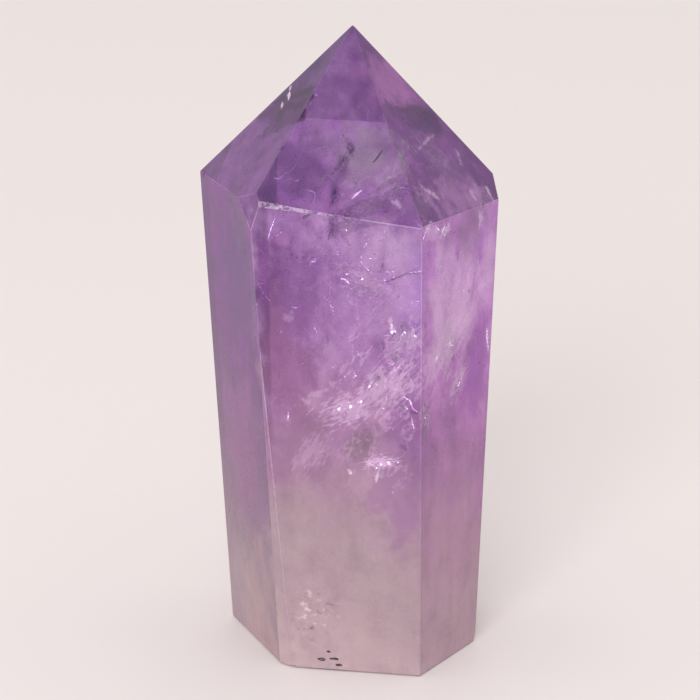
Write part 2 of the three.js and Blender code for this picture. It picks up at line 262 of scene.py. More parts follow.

# Worn edges, chips and the bruise are frosted: their colour, clearness and roughness, and the tint
# that they take on from the tip, between two heights, which like the tip facets' tints is partly
# painted shade. Their brightness is grainy. The front left edge and the bruise show brightest, partly
# by frosting and partly by a painted highlight where their bands face one way: the way that they
# face, the cosine at which a surface starts to face that way, and the middle and the reach of the
# bright part. The rest is worn lightly.
WORN_COLOUR = (0.58, 0.45, 0.59)
WORN_CLEARNESS = 0.35
WORN_FROST = 0.7
WORN_ROUGHNESS = 0.4
WORN_TIP_TINT = (0.45, 0.30, 0.50)
WORN_TIP_HEIGHTS = (53, 57)
WORN_GRAINS = (0.4, 0.62)
WORN_GRAIN_LEAST = 0.2
WORN_AND_HIGHLIT = [
    ((236, -4), 0.93, (-9.5, -11, 22), (9, 9, 40)),
    ((261.5, 18.5), 0.86, (-6, -11.5, 55.6), (6.5, 6, 3)),
]
WORN_AND_HIGHLIT_RANGE = 0.04
LIGHTLY_WORN = 0.22
POLISHED_ROUGHNESS = 0.05

# Painted shade darkens the pits near the foot of the front facet: the middle, the reach, the
# colour, how deep behind the facet it starts, and the cosines between which a surface starts to face
# forward
PIT_SHADE = ((-2.1, -11.1, 1.4), (4.0, 3.5, 2.4), (0.04, 0.025, 0.03))
PIT_SHADE_DEPTH = 0.03
FACING_FORWARD = (0.3, 0.4)

# The depth of colour that the light picks up on its way through the crystal
ABSORPTION_COLOUR = (0.55, 0.22, 0.72)
ABSORPTION_PER_METRE = 18

# The flakes' finishes: the colour of the darkest and of the lightest grains, the roughness, how
# metallic they are, and the shine. Then the noise of the grains, and where its two colours are full.
FINISHES = {
    "healed_fracture": ((0.86, 0.66, 0.90), (1.0, 0.90, 1.0), 0.25, 0.35, 0.5),
    "bright_fracture": ((0.70, 0.92, 0.76), (0.84, 1.0, 0.88), 0.14, 1.0, 0.5),
    "dark_mineral_and_shade": ((0.05, 0.01, 0.10), (0.17, 0.06, 0.27), 0.6, 0.0, 0.1),
    "mist": ((0.90, 0.82, 0.90), (1.0, 0.96, 0.99), 0.4, 0.0, 0.5),
}
FLAKE_NOISE = dict(scale=900, stretch=1, detail=3)
FLAKE_GRAINS = (0.35, 0.65)

# A flake has this many uneven corners, each a little out of place and at its own share of the size
FLAKE_CORNERS = (3, 4, 4, 5)
CORNER_SHIFT = 0.25
CORNER_REACH = (0.6, 1.1)

# Healed fractures: sheets of fine slivers that lie along one another. "at" is where the middle shows
# on the front (across, up) and how deep behind the facet it lies; then the sheet's length and width,
# its tilt about the vertical, its lean and its turn in degrees, how far it bows, how many slivers it
# has and how large they are, the size of its patches, how much of the sheet they leave bare, and how
# loosely the slivers lie.
VEILS = {
    "veil_middle": dict(at=(3.9, 35.4, 3.5), size=(7.5, 4.2), tilt=4, lean=-3, turn=55, bow=1.2,
        count=7000, flake=0.055, patch=1.1, bare=0.44, loose=0.24),
    "veil_left_of_middle": dict(at=(0.0, 32.3, 3), size=(6.0, 3.6), tilt=-3, lean=2, turn=30, bow=1.0,
        count=5200, flake=0.055, patch=0.9, bare=0.44, loose=0.24),
    "veil_high": dict(at=(6.2, 41.3, 2.5), size=(5.5, 3), tilt=-5, lean=3, turn=60, bow=1.0,
        count=2600, flake=0.05, patch=0.9, bare=0.5, loose=0.35),
    "veil_right": dict(at=(11.5, 38.5, 2.5), size=(7.5, 4.5), tilt=4, lean=3, turn=60, bow=1.4,
        count=1700, flake=0.05, patch=1.1, bare=0.5, loose=0.3),
    "veil_right_low": dict(at=(12.3, 33, 2), size=(4, 1.6), tilt=-4, lean=0, turn=60, bow=0.8,
        count=1400, flake=0.05, patch=0.8, bare=0.5, loose=0.16),
    "veil_low": dict(at=(3.8, 26.3, 2.5), size=(4.4, 1.5), tilt=3, lean=-4, turn=12, bow=0.6,
        count=2600, flake=0.06, patch=0.8, bare=0.42, loose=0.16),
    "veil_shoulder": dict(at=(3, 57, 5), size=(11, 4), tilt=3, lean=-4, turn=28, bow=2.0,
        count=5200, flake=0.045, patch=1.1, bare=0.56, loose=0.4),
    "veil_upper": dict(at=(1.5, 47.8, 3), size=(10, 5), tilt=4, lean=3, turn=-24, bow=2,
        count=2400, flake=0.045, patch=1.1, bare=0.56, loose=0.4),
}

# What the veils share. The steps set one veil's noises apart from the next one's.
VEIL_TRIES = 12
VEIL_PATCH_STRETCH = 0.4
VEIL_PATCH_DETAIL = 4
VEIL_PATCH_FADING = 0.6
VEIL_BARE_RIM = 0.35
VEIL_RAGGED = 0.12
VEIL_WAVE = 5
VEIL_THICKNESS = 0.12
VEIL_SWING = 0.3
VEIL_SIZE_SPREAD = 0.45
SLIVER_STRETCH = 3
PATCH_NOISE_STEP = 3.7
BOW_NOISE_STEP = 1.3

# Bright streaks: the places (across, up) that each runs through, its depth and its width
STREAKS = {
    "curved": ([(-8.4, 59.0), (-7.9, 58.9), (-7.2, 59.4), (-6.4, 59.8), (-5.8, 60.5)], 1.2, 0.21),
    "hook": ([(-5.4, 57.9), (-4.6, 57.9), (-3.9, 57.7), (-3.8, 57.3), (-4.0, 56.6)], 1.0, 0.2),
    "chip": ([(-6.0, 58.7), (-5.5, 58.95)], 1.0, 0.29),
    "bar": ([(0.3, 57.2), (0.9, 57.7), (1.5, 58.1)], 1.6, 0.29),
    "ridge_left": ([(5.9, 58.4), (6.6, 58.3)], 0.8, 0.18),
    "tip_dash": ([(8.4, 57.7), (9.3, 57.0), (10.2, 56.1)], 1.5, 0.26),
    "tip_line": ([(11.9, 59.6), (12.3, 58.8), (12.8, 57.9)], 1.5, 0.21),
    "tip_fine": ([(10.9, 59.3), (10.95, 58.0)], 1.5, 0.16),
    "tip_low": ([(15.0, 55.4), (15.6, 54.7), (16.1, 54.1)], 0.8, 0.18),
    "tip_low_left": ([(14.2, 55.5), (14.8, 54.4)], 1.0, 0.16),
    "tip_ridge": ([(6.2, 60.7), (6.9, 59.3), (7.7, 57.4), (8.6, 55.2)], 0.4, 0.07),
    "left_glint_low": ([(-7.5, 65.1), (-7.7, 64.4)], 0.7, 0.17),
    "left_glint": ([(-6.7, 66.3), (-6.9, 65.4)], 0.7, 0.26),
    "arc": ([(-0.9, 48.2), (-0.4, 48.1), (0.1, 47.6)], 1.0, 0.26),
    "low_arc": ([(6.2, 34.5), (6.9, 34.0), (7.2, 33.2), (7.8, 32.7)], 1.4, 0.29),
    "low_drop": ([(7.1, 32.2), (7.2, 31.4), (7.4, 30.6)], 1.4, 0.2),
    "edge": ([(15.9, 39.2), (15.95, 37.4), (16.1, 36.3), (16.3, 35.2)], 0.5, 0.23),
    "right_slash": ([(12.2, 32.8), (12.6, 33.6), (13.1, 34.3)], 1.0, 0.2),
    "cross_a": ([(9.6, 54.2), (10.3, 53.2), (11.0, 52.2)], 1.0, 0.21),
    "cross_b": ([(11.0, 54.0), (10.5, 53.1), (10.2, 52.2)], 1.0, 0.18),
    "under_ridge": ([(8.7, 54.3), (8.3, 53.4), (8.2, 52.9)], 0.9, 0.26),
    "left_curl": ([(-6.4, 44.5), (-6.0, 44.4), (-5.6, 44.6)], 0.9, 0.2),
    "foot_left": ([(-6.9, 31.7), (-6.95, 30.7)], 0.8, 0.31),
    "shoulder_fine": ([(-2.6, 59.5), (-1.6, 59.0), (-0.9, 58.8)], 1.4, 0.1),
    "tip_scratch": ([(-4.2, 61.6), (-3.0, 62.0), (-2.2, 62.2)], 1.2, 0.1),
    "long_fine": ([(-7.9, 58.3), (-6.9, 58.8), (-6.1, 59.0)], 1.2, 0.09),
    "pink_line": ([(-8.3, 54.9), (-8.8, 53.4), (-9.2, 52.0)], 0.9, 0.17),
}

# What the streaks share, and how many points a curve has from one place to the next
STREAK_END = 0.35
STREAK_UNEVEN = (0.75, 1.15)
STREAK_TIP = 0.06
STREAK_OVERLAP = 0.8
CURVE_STEPS = 10

# Dark wisps: the places that each runs through, its depth, its spread and its number of flakes
WISPS = {
    "curved": ([(-0.4, 62.9), (0.25, 62.1), (0.2, 61.5), (-0.8, 60.8), (-0.8, 59.8)], 1.2, 0.3, 80),
    "slash": ([(2.8, 60.8), (3.3, 61.3), (3.8, 62.0)], 1.2, 0.07, 36),
    "slash_low": ([(-1.5, 58.2), (-1.6, 57.4), (-1.9, 56.6)], 1.2, 0.25, 50),
    "under_bruise": ([(-5.0, 55.2), (-4.3, 55.7)], 0.8, 0.12, 90),
    "shoulder": ([(-2.1, 55.4), (-1.8, 54.5), (-2.1, 53.2)], 1.0, 0.55, 70),
    "shoulder_right": ([(-0.4, 55.5), (0.0, 54.9)], 1.0, 0.2, 90),
    "line_right": ([(4.1, 48.1), (5.3, 48.6), (6.5, 49.2), (7.9, 49.3)], 1.4, 0.09, 60),
    "line_high": ([(3.9, 50.9), (3.7, 49.9), (3.4, 49.0)], 1.4, 0.12, 26),
    "middle_a": ([(3.8, 41.0), (4.0, 40.2)], 1.4, 0.14, 90),
    "middle_b": ([(4.9, 39.4), (5.4, 38.8)], 1.4, 0.25, 110),
    "middle_c": ([(3.2, 37.0), (3.3, 36.2)], 1.4, 0.18, 100),
    "left_dot": ([(-2.4, 41.0), (-2.3, 40.2)], 1.4, 0.15, 60),
    "low_a": ([(0.9, 29.4), (0.8, 28.4)], 1.4, 0.22, 150),
    "low_b": ([(3.2, 31.0), (3.5, 30.2)], 1.4, 0.25, 150),
    "low_c": ([(6.0, 28.4), (6.5, 28.2)], 1.4, 0.2, 90),
    "low_d": ([(2.2, 30.6), (2.4, 29.0), (1.9, 28.0)], 1.6, 0.5, 240),
    "low_e": ([(0.6, 26.8), (0.6, 26.0)], 1.4, 0.16, 70),
    "low_hook": ([(6.0, 33.4), (7.0, 32.7), (8.1, 32.6)], 1.2, 0.14, 130),
    # The next two wisps are painted shade: dark flakes that darken the bands high in the tip.
    "left_tip": ([(-8.2, 63.4), (-7.0, 65.0), (-5.8, 65.4), (-4.9, 66.4)], 1.5, 0.5, 500),
    "right_tip": ([(5.4, 65.4), (7.0, 64.5), (8.2, 63.7), (9.4, 62.6)], 1.5, 0.45, 450),
    "left_band": ([(-13.5, 55.2), (-12.3, 53.0), (-11.8, 49.1)], 1.0, 0.8, 350),
    "foot_a": ([(-6.0, 7.7), (-4.6, 7.5)], 0.5, 0.12, 130),
    "foot_b": ([(-4.9, 9.0), (-4.5, 8.9)], 0.5, 0.1, 50),
    "foot_c": ([(-6.9, 8.9), (-6.3, 8.8)], 0.5, 0.1, 50),
    "foot_d": ([(2.0, 7.1), (2.6, 7.0)], 0.5, 0.1, 60),
    "foot_e": ([(-4.9, 10.2), (-4.3, 10.1)], 0.5, 0.1, 40),
    "edge_right": ([(5.9, 42.9), (6.2, 41.9)], 1.6, 0.14, 60),
}

# The slivers of the wisps, and how far inside the crystal they stay
WISP_SLIVER = 0.05
WISP_SIZE_SPREAD = 0.4
WISP_STRETCH = 4
WISP_SWING = 0.2
WISP_MARGIN = 0.12

# Mist: fine flakes through the whole body, in clouds, and crowded towards the foot
MIST_FLAKES = 5000
MIST_FLAKE = 0.07
FOOT_MIST_FLAKES = 9000
FOOT_MIST_FLAKE = 0.12
FOOT_MIST_TOP = 30
FOOT_MIST_WANDER = 5
FOOT_MIST_CLOUD = 8
BODY_MIST_CLOUD = 9
BODY_MIST_DETAIL = (1.0, 2.0, 4)
BODY_MIST_SHARE = 0.25
BODY_MIST_CONTRAST = 0.9
BODY_MIST_LEAST = 0.02
MIST_SIZE_SPREAD = 0.4
MIST_HALF_WIDTH = 17
MIST_HALF_DEPTH = 15
MIST_HEIGHTS = (0.5, HEIGHT - 1)

# Hairlines: short fine strokes through the upper body, drawn in steps that bend and tip a little
HAIRLINES = 260
HAIRLINE_LENGTH = (0.5, 2.2)
HAIRLINE_WIDTH = 0.05
HAIRLINE_UNEVEN = (0.6, 1.2)
HAIRLINE_STRETCH = 2
HAIRLINE_FOOT = 30
HAIRLINE_BOX = ((-16, 16), (-14, 12), (HAIRLINE_FOOT, HEIGHT - 4))
HAIRLINE_STEP = 0.12
HAIRLINE_BEND = 0.04
HAIRLINE_TIP = 0.2

# Glints: small mirror-like flakes scattered through the crystal, and larger ones in clusters at
# these places (across, up)
GLINT_FLAKES = 900
GLINT_FLAKE = 0.11
LARGE_GLINTS = [
    (2.4, 36.0), (-1.1, 32.5), (0.2, 32.8), (1.3, 33.6), (6.5, 33.2), (5.1, 42.4), (7.4, 41.8),
    (6.1, 42.0), (2.6, 26.2), (3.1, 25.6), (3.6, 26.1), (4.1, 25.9), (5.6, 26.6), (4.6, 26.3),
    (3.2, 24.4), (0.2, 24.8), (2.1, 28.9), (8.7, 31.6), (9.0, 31.7), (-6.9, 30.8), (-0.3, 48.9),
    (4.0, 48.2), (-0.4, 54.0), (-1.3, 51.3), (-3.9, 50.2), (11.7, 38.9), (-6.2, 6.5), (-6.0, 5.9),
    (-5.1, 6.6), (-5.1, 5.3), (-2.8, 7.2), (-2.7, 6.6), (-2.8, 5.4), (-2.3, 6.9), (2.5, 36.1),
    (2.3, 35.7), (4.8, 42.9), (9.9, 38.4), (11.5, 39.2), (-7.4, 64.9), (-3.8, 67.0), (10.9, 52.3),
    (8.3, 52.8), (-14.6, 52.4), (6.7, 57.9), (1.4, 48.5), (-6.4, 53.4), (-7.8, 41.4), (0.6, 36.6),
]
LARGE_GLINT = 0.17
CLUSTER_FLAKES = 7
CLUSTER_DEPTH = 0.9
CLUSTER_SPREAD = 0.10
CLUSTER_TIP = 0.1
CLUSTER_SIZES = (0.5, 1.2)

# Flakes stay this far inside the facets. Looks at the crystal start this far in front of it, and a
# facet lets the window's light in where it is turned this far towards it.
HULL_MARGIN = 0.25
LOOK_START = 60
TURNED_TO_WINDOW = 0.25

# The numbers of a mix node's colour sockets
MIX_FIRST = 6
MIX_SECOND = 7
MIX_RESULT = 2

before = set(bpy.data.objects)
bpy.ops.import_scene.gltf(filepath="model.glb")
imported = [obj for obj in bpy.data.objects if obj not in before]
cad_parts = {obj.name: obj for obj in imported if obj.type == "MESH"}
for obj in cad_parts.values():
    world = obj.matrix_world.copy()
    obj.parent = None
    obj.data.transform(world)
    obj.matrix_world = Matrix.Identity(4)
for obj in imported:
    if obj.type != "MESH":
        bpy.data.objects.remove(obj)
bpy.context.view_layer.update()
crystal = bpy.data.objects["amethyst_point"]


def turn_towards(thing, target):
    thing.rotation_euler = (target - thing.location).to_track_quat("-Z", "Y").to_euler()


def make_camera():
    data = bpy.data.cameras.new("camera")
    data.lens = CAMERA_LENS
    data.clip_start = 0.01
    data.clip_end = 20.0
    camera = bpy.data.objects.new("camera", data)
    camera.location = CAMERA_PLACE
    turn_towards(camera, CAMERA_TARGET)
    bpy.context.collection.objects.link(camera)
    bpy.context.scene.camera = camera


def make_floor():
    half = FLOOR_HALF_WIDTH * MM
    low = -FLOOR_DROP * MM
    corners = [(-half, -half, low), (half, -half, low), (half, half, low), (-half, half, low)]
    mesh = bpy.data.meshes.new("floor")
    mesh.from_pydata(corners, [], [(0, 1, 2, 3)])
    floor = bpy.data.objects.new("floor", mesh)
    bpy.context.collection.objects.link(floor)
    material = bpy.data.materials.new("floor")
    material.use_nodes = True
    shader = material.node_tree.nodes["Principled BSDF"]
    shader.inputs["Base Color"].default_value = (*FLOOR_COLOUR, 1)
    shader.inputs["Roughness"].default_value = FLOOR_ROUGHNESS
    mesh.materials.append(material)


def make_light():
    world = bpy.data.worlds.new("studio")
    bpy.context.scene.world = world
    world.use_nodes = True
    background = world.node_tree.nodes["Background"]
    background.inputs["Color"].default_value = (*ROOM_COLOUR, 1)
    background.inputs["Strength"].default_value = ROOM_STRENGTH
    data = bpy.data.lights.new("window", "AREA")
    data.energy = WINDOW_POWER
    data.size = WINDOW_SIZE * MM
    light = bpy.data.objects.new("window", data)
    light.location = WINDOW_PLACE
    turn_towards(light, WINDOW_TARGET)
    bpy.context.collection.objects.link(light)


def feed(tree, socket, value):
    """Links another node's socket to this one, or sets a number, a vector or a colour on it."""
    if isinstance(value, bpy.types.NodeSocket):
        tree.links.new(value, socket)
    elif socket.type == "RGBA":
        socket.default_value = (*value, 1)
    else:
        socket.default_value = value


def add_node(tree, kind, inputs=(), **settings):
    """A new node of this kind. inputs gives a value or another node's socket for each named input."""
    node = tree.nodes.new(kind)
    for name, value in settings.items():
        setattr(node, name, value)
    for name, value in dict(inputs).items():
        feed(tree, node.inputs[name], value)
    return node


def calculated(tree, operation, first, second=0.0):
    """A number worked out from one or two others."""
    node = add_node(tree, "ShaderNodeMath", operation=operation)
    feed(tree, node.inputs[0], first)
    feed(tree, node.inputs[1], second)
    return node.outputs["Value"]


def product(tree, first, second):
    return calculated(tree, "MULTIPLY", first, second)


def added(tree, first, second):
    return calculated(tree, "ADD", first, second)


def largest(tree, values):
    """The largest of several values."""
    most = values[0]
    for value in values[1:]:
        most = calculated(tree, "MAXIMUM", most, value)
    return most


def rescaled(tree, value, lowest, highest, least=0.0, most=1.0, course="LINEAR"):
    """The value as it runs from lowest to highest, moved to run from least to most and held there."""
    node = add_node(tree, "ShaderNodeMapRange", {
        "Value": value, "From Min": lowest, "From Max": highest, "To Min": least, "To Max": most,
    }, interpolation_type=course)
    return node.outputs["Result"]


def mixed(tree, factor, first, second, blend="MIX"):
    """One colour laid over another, by factor."""
    node = add_node(tree, "ShaderNodeMix", data_type="RGBA", blend_type=blend)
    feed(tree, node.inputs["Factor"], factor)
    feed(tree, node.inputs[MIX_FIRST], first)
    feed(tree, node.inputs[MIX_SECOND], second)
    return node.outputs[MIX_RESULT]


def grey(level):
    """A colour that stands for one number."""
    return level, level, level


def ramp(tree, factor, stops, lowest, highest):
    """Colours between stops, each (place, colour), where factor runs from lowest to highest."""
    node = add_node(tree, "ShaderNodeValToRGB", {"Fac": rescaled(tree, factor, lowest, highest)})
    elements = node.color_ramp.elements
    while len(elements) > 1:
        elements.remove(elements[0])
    for i, (place, colour) in enumerate(stops):
        share = (place - lowest) / (highest - lowest)
        element = elements[0] if i == 0 else elements.new(share)
        element.position = share
        element.color = (*colour, 1)
    return node.outputs["Color"]


def direction(faces, rise):
    """The unit vector that faces this way, in degrees anticlockwise from +X, and rises by so much."""
    round_z, up = math.radians(faces), math.radians(rise)
    return Vector((math.cos(up) * math.cos(round_z), math.cos(up) * math.sin(round_z), math.sin(up)))


def clouds(tree, place, scale, stretch, detail=5, roughness=0.6, turn=0):
    """Soft noise, drawn out by stretch along the crystal's length, or along a line turned from it."""
    drawn = add_node(tree, "ShaderNodeMapping", {
        "Vector": place, "Rotation": (0, -math.radians(turn), 0), "Scale": (1, 1, stretch),
    }, vector_type="TEXTURE")
    node = add_node(tree, "ShaderNodeTexNoise", {
        "Vector": drawn.outputs["Vector"], "Scale": scale, "Detail": detail, "Roughness": roughness,
    })
    return node.outputs["Fac"]


def cloud_tints(tree, place, recipe, reach, dim, bright):
    """Tints that pass from dim through untinted to bright as the noise of this recipe rises."""
    stops = [(0.5 - reach, dim), (0.5, UNTINTED), (0.5 + reach, bright)]
    return ramp(tree, clouds(tree, place, **recipe), stops, *WIDE_NOISE_RANGE)


def zone(tree, place, middle, reach, turn=0, frayed=0.0, tears=None, core=SOFT_CORE):
    """1 in the core of an ellipsoid, falling softly to 0 about its surface. A frayed border is torn
    by the noise given as tears, or else by noise that is drawn out as the zone is."""
    local = add_node(tree, "ShaderNodeMapping", {
        "Vector": place, "Location": Vector(middle) * MM, "Rotation": (0, -math.radians(turn), 0),
        "Scale": 2 * Vector(reach) * MM,
    }, vector_type="TEXTURE").outputs["Vector"]
    # The gradient is 1 in the middle, a half at the ellipsoid's surface and 0 at twice its reach
    gradient = add_node(tree, "ShaderNodeTexGradient", {"Vector": local}, gradient_type="SPHERICAL")
    near = gradient.outputs["Fac"]
    if frayed:
        tears = tears or clouds(tree, local, **FEATHER_NOISE)
        near = added(tree, near, rescaled(tree, tears, *NOISE_RANGE, frayed / 2, -frayed / 2))
    return rescaled(tree, near, 1 - ZONE_END / 2, 1 - core / 2, course="SMOOTHSTEP")


def sector(tree, normal, faces, rise, least=SAME_FACET[0], most=SAME_FACET[1]):
    """1 on the surfaces that face this way, 0 elsewhere."""
    match = add_node(tree, "ShaderNodeNormal", {"Normal": normal})
    match.outputs["Normal"].default_value = direction(faces, rise)
    return rescaled(tree, match.outputs["Dot"], least, most)


def colour_level(tree, place, on_facets):
    """Height above the base, tilted, lifted behind some facets, and wandering with soft clouds."""
    axes = add_node(tree, "ShaderNodeSeparateXYZ", {"Vector": place})
    wander = WANDER_OF_ZONES * MM
    shift = rescaled(tree, clouds(tree, place, **WANDER_NOISE), *NOISE_RANGE, -wander, wander)
    level = added(tree, axes.outputs["Z"], product(tree, axes.outputs["X"], TILT_OF_ZONES))
    level = added(tree, level, shift)
    for name, lift in REACH_LOWER.items():
        level = added(tree, level, product(tree, on_facets[name], lift * MM))
    return level


def between_heights(tree, height, heights, least=0.0):
    """Least below the first of two heights, rising to 1 at the second."""
    return rescaled(tree, height, heights[0] * MM, heights[1] * MM, least)


def colour_by_height_and_facet(tree, place, level, on_facets):
    """The colour and the clearness that each height and each facet has, with the clouds of growth.
    The facets' tints are partly painted shade and painted reflection.
    """
    colour = ramp(tree, level, [(z * MM, tone) for z, tone in COLOUR_BY_HEIGHT], 0, HEIGHT * MM)
    clear = ramp(tree, level, [(z * MM, grey(share)) for z, share in CLEAR_BY_HEIGHT], 0, HEIGHT * MM)
    above_foot = between_heights(tree, level, TINTED_HEIGHTS, TINT_OF_FOOT)
    for name, (_, _, tint, kept) in FACETS.items():
        here = product(tree, on_facets[name], above_foot)
        colour = mixed(tree, here, colour, tint, "MULTIPLY")
        clear = mixed(tree, here, clear, grey(kept), "MULTIPLY")
    for row in GROWTH_CLOUDS:
        colour = mixed(tree, above_foot, colour, cloud_tints(tree, place, *row), "MULTIPLY")
    feathery = between_heights(tree, level, FEATHERY_HEIGHTS)
    for row in FEATHERY_STREAKS:
        colour = mixed(tree, feathery, colour, cloud_tints(tree, place, *row), "MULTIPLY")
    return colour, clear


def with_zones(tree, place, colour):
    """The colour with its paler and deeper zones, and a fine mottle over all."""
    tears = clouds(tree, place, **TEAR_NOISE)
    for zones, core in ((ZONES, SOFT_CORE), (CRISP_ZONES, CRISP_CORE)):
        for middle, reach, turn, frayed, tone, strength in zones.values():
            here = product(tree, zone(tree, place, middle, reach, turn, frayed, tears, core), strength)
            colour = mixed(tree, here, colour, tone)
    return mixed(tree, 1.0, colour, cloud_tints(tree, place, *MOTTLE), "MULTIPLY")


def with_patches(tree, place, colour, patches, tone, frayed, tears=None, within=1.0):
    """The colour with patches of another tone laid over it, where within is 1."""
    for middle, reach, turn, strength in patches.values():
        here = zone(tree, place, middle, reach, turn, frayed, tears)
        if isinstance(within, bpy.types.NodeSocket):
            here = product(tree, here, within)
        colour = mixed(tree, product(tree, here, strength), colour, tone)
    return colour


def on_filaments(tree, place):
    """1 on fine wandering lines: the places where a noise passes through its middle."""
    off_line = calculated(tree, "ABSOLUTE", added(tree, clouds(tree, place, **FILAMENT_NOISE), -0.5))
    return rescaled(tree, off_line, 0.0, FILAMENT_WIDTH, 1.0, 0.0)


def with_fractures(tree, place, colour):
    """The colour with feathered patches, then filaments, then strokes."""
    colour = with_patches(tree, place, colour, FEATHERS, FEATHER_COLOUR, FEATHER_FRAYED)
    tears = clouds(tree, place, **TEAR_NOISE)
    lines = on_filaments(tree, place)
    colour = with_patches(tree, place, colour, FILAMENTS, FEATHER_COLOUR, FILAMENT_FRAYED, tears, lines)
    fine_tears = clouds(tree, place, **FINE_TEAR_NOISE)
    return with_patches(tree, place, colour, STROKES, STROKE_COLOUR, FEATHER_FRAYED, fine_tears)


def with_foot_specks(tree, place, colour):
    """The colour with pale specks near the foot, which are painted glints, and dark specks."""
    specks = clouds(tree, place, **SPECK_NOISE)
    patch = zone(tree, place, *FOOT_SPECKS)
    for tone, begins, full in SPECKS.values():
        chosen = rescaled(tree, specks, begins, full)
        colour = mixed(tree, product(tree, patch, chosen), colour, tone)
    return colour


def with_worn_edges(tree, place, normal, worn, colour):
    """The colour with grainy frost on the worn bands, deeper in the tip, partly with painted shade,
    and bright in some places, partly with a painted highlight.
    """
    height = add_node(tree, "ShaderNodeSeparateXYZ", {"Vector": place}).outputs["Z"]
    in_tip = between_heights(tree, height, WORN_TIP_HEIGHTS)
    colour = mixed(tree, product(tree, worn, in_tip), colour, WORN_TIP_TINT, "MULTIPLY")
    bright = largest(tree, [
        product(
            tree,
            sector(tree, normal, *faces, least, least + WORN_AND_HIGHLIT_RANGE),
            zone(tree, place, middle, reach),
        )
        for faces, least, middle, reach in WORN_AND_HIGHLIT
    ])
    bright = calculated(tree, "MAXIMUM", bright, LIGHTLY_WORN)
    grains = rescaled(tree, clouds(tree, place, **WEAR_NOISE), *WORN_GRAINS, WORN_GRAIN_LEAST)
    bright = product(tree, product(tree, bright, grains), worn)
    return mixed(tree, bright, colour, WORN_COLOUR)


def with_pit_shade(tree, place, normal, colour):
    """The colour with painted shade in the pits, which lie deeper than the front facet and face forward.
    """
    middle, reach, tone = PIT_SHADE
    front = direction(*FACETS["front"][:2])
    facet_reach = max(front.dot(crystal.matrix_world @ v.co) for v in crystal.data.vertices)
    along = add_node(tree, "ShaderNodeVectorMath", operation="DOT_PRODUCT")
    feed(tree, along.inputs[0], place)
    feed(tree, along.inputs[1], front)
    sunk = calculated(tree, "LESS_THAN", along.outputs["Value"], facet_reach - PIT_SHADE_DEPTH * MM)
    forward = sector(tree, normal, *FACETS["front"][:2], *FACING_FORWARD)
    shaded = product(tree, product(tree, zone(tree, place, middle, reach), sunk), forward)
    return mixed(tree, shaded, colour, tone)


def crystal_material():
    material = bpy.data.materials.new("amethyst")
    material.use_nodes = True
    tree = material.node_tree
    coordinates = add_node(tree, "ShaderNodeTexCoord")
    place, normal = coordinates.outputs["Object"], coordinates.outputs["Normal"]
    on_facets = {name: sector(tree, normal, *values[:2]) for name, values in FACETS.items()}
    worn = calculated(tree, "SUBTRACT", 1.0, largest(tree, list(on_facets.values())))
    colour, clear = colour_by_height_and_facet(tree, place, colour_level(tree, place, on_facets), on_facets)
    colour = with_zones(tree, place, colour)
    colour = with_fractures(tree, place, colour)
    colour = with_foot_specks(tree, place, colour)
    colour = with_worn_edges(tree, place, normal, worn, colour)
    colour = with_pit_shade(tree, place, normal, colour)
    clear = mixed(tree, product(tree, worn, WORN_FROST), clear, grey(WORN_CLEARNESS))
    rough = rescaled(tree, worn, 0.0, 1.0, POLISHED_ROUGHNESS, WORN_ROUGHNESS)

    shader = tree.nodes["Principled BSDF"]
    feed(tree, shader.inputs["Base Color"], colour)
    feed(tree, shader.inputs["Transmission Weight"], clear)
    feed(tree, shader.inputs["Roughness"], rough)
    shader.inputs["IOR"].default_value = QUARTZ_IOR
    volume = add_node(tree, "ShaderNodeVolumeAbsorption", {
        "Color": ABSORPTION_COLOUR, "Density": ABSORPTION_PER_METRE,
    })
    feed(tree, tree.nodes["Material Output"].inputs["Volume"], volume.outputs["Volume"])
    return material


def flake_material(name):
    """A thin flake's finish: its colour varies in grains between dark and light."""
    dark, light, roughness, metallic, shine = FINISHES[name]
    material = bpy.data.materials.new(name)
    material.use_nodes = True
    tree = material.node_tree
    place = add_node(tree, "ShaderNodeTexCoord").outputs["Object"]
    stops = list(zip(FLAKE_GRAINS, (dark, light)))
    shader = tree.nodes["Principled BSDF"]
    feed(tree, shader.inputs["Base Color"], ramp(tree, clouds(tree, place, **FLAKE_NOISE), stops, 0, 1))
    shader.inputs["Roughness"].default_value = roughness
    shader.inputs["Metallic"].default_value = metallic
    shader.inputs["Specular IOR Level"].default_value = shine
    return material


class Hull:
    """The crystal's facets as planes, to tell whether a point lies inside them."""

    def __init__(self):
        corners = [crystal.matrix_world @ v.co / MM for v in crystal.data.vertices]
        self.planes = []
        for faces, rise, _, _ in FACETS.values():
            normal = direction(faces, rise)
            self.planes.append((normal, max(normal.dot(c) for c in corners)))

    def holds(self, point, margin=HULL_MARGIN):
        return all(normal.dot(point) < reach - margin for normal, reach in self.planes)


def bent(sight, normal):
    """The direction that a line of sight takes inside the crystal."""
    facing = -sight.dot(normal)
    sideways = (1 - facing * facing) / QUARTZ_IOR ** 2
    return sight / QUARTZ_IOR + normal * (facing / QUARTZ_IOR - math.sqrt(1 - sideways))


def entry(across, up):
    """Where a look from straight in front at (across, up) meets the crystal, and its normal there."""
    start = Vector((across, -LOOK_START, up)) * MM
    hit, spot, normal, _ = crystal.ray_cast(start, Vector((0, 1, 0)))
    if not hit:
        raise ValueError(f"nothing in front of {across}, {up}")
    return spot / MM, normal


def inside(across, up, deep):
    """The place inside the crystal that shows on its front at (across, up), this deep along the sight."""
    spot, normal = entry(across, up)
    return spot + bent(SIGHT, normal) * deep


def mirror_axis(across, up):
    """The way that a flake faces when it throws the window's light out along the line of sight."""
    normal = entry(across, up)[1]
    light = -WINDOW_PLACE.normalized()
    way_in = normal if light.dot(normal) < -TURNED_TO_WINDOW else direction(*FACETS["front"][:2])
    return -(bent(SIGHT, normal) + bent(light, way_in)).normalized()


